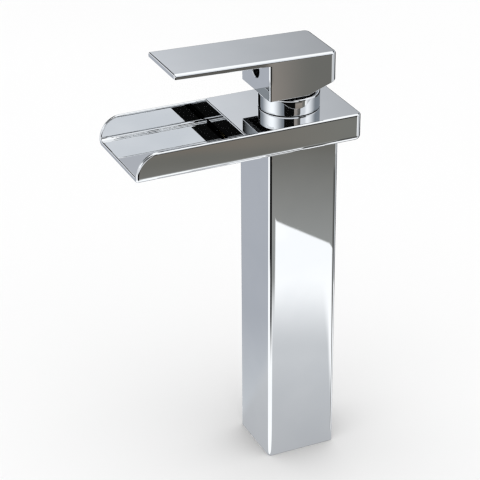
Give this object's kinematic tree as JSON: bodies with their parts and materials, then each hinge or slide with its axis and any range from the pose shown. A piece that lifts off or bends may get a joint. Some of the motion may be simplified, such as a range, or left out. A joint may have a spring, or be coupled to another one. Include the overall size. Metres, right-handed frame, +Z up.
{
  "type": "waterfall basin faucet",
  "caption": "Tall square-column waterfall faucet for a countertop basin, with an open trough spout and a flat single lever that tilts and swivels.",
  "frame": {"origin": "centre of the column's foot, on the counter", "axes": "+Z up the column, -Y towards the spout's lip, +X the cold side (right for a user facing the spout)"},
  "size_m": [0.0716, 0.1671, 0.3183],
  "materials": {
    "polished_chrome": "mirror-polished chrome plate on brass",
    "raw_brass": "machined brass",
    "copper_tube": "drawn copper tube, slightly dull",
    "steel": "zinc-plated steel",
    "dark_steel": "black oxide steel",
    "seal_rubber": "matt black rubber",
    "cartridge_plastic": "moulded acetal",
    "limit_ring_plastic": "moulded red acetal",
    "ceramic_disc": "lapped alumina"
  },
  "bodies": {
    "body": {"column_shell": "polished_chrome", "base_plate": "raw_brass", "base_seal": "seal_rubber", "tie_rods": "steel", "tie_rod_washers": "steel", "tie_rod_nuts": "steel", "hot_riser_tube": "copper_tube", "cold_riser_tube": "copper_tube", "riser_o_rings": "seal_rubber", "valve_body": "raw_brass", "valve_body_o_rings": "seal_rubber", "clamp_ring_nut": "raw_brass", "spout_body": "polished_chrome", "cartridge_base": "cartridge_plastic", "cartridge_seals": "seal_rubber", "fixed_disc": "ceramic_disc", "cartridge_housing": "cartridge_plastic", "temperature_limit_ring": "limit_ring_plastic", "cartridge_nut": "raw_brass", "bonnet_cap": "polished_chrome", "bonnet_seal": "seal_rubber"},
    "swivel": {"swivel_guide": "cartridge_plastic", "pivot_pin": "steel"},
    "disc_slide": {"moving_disc": "ceramic_disc", "disc_carrier": "cartridge_plastic"},
    "lever": {"lever_stem": "raw_brass", "lever_handle": "polished_chrome", "handle_set_screw": "dark_steel"}
  },
  "joints": [
    {"name": "temperature_swivel", "type": "hinge", "parent": "body", "child": "swivel", "pos_m": [0, 0, 0.277], "axis": [0, 0, 1], "range_deg": [-50, 50]},
    {"name": "lever_lift", "type": "hinge", "parent": "swivel", "child": "lever", "pos_m": [0, 0, 0.277], "axis": [-1, 0, 0], "range_deg": [0, 18]},
    {"name": "disc_travel", "type": "slide", "parent": "swivel", "child": "disc_slide", "axis": [0, -1, 0], "range_m": [0, 0.0022]}
  ],
  "couplings": [
    {"joint": "disc_travel", "follows": "lever_lift", "m_per_rad": 0.006885}
  ]
}
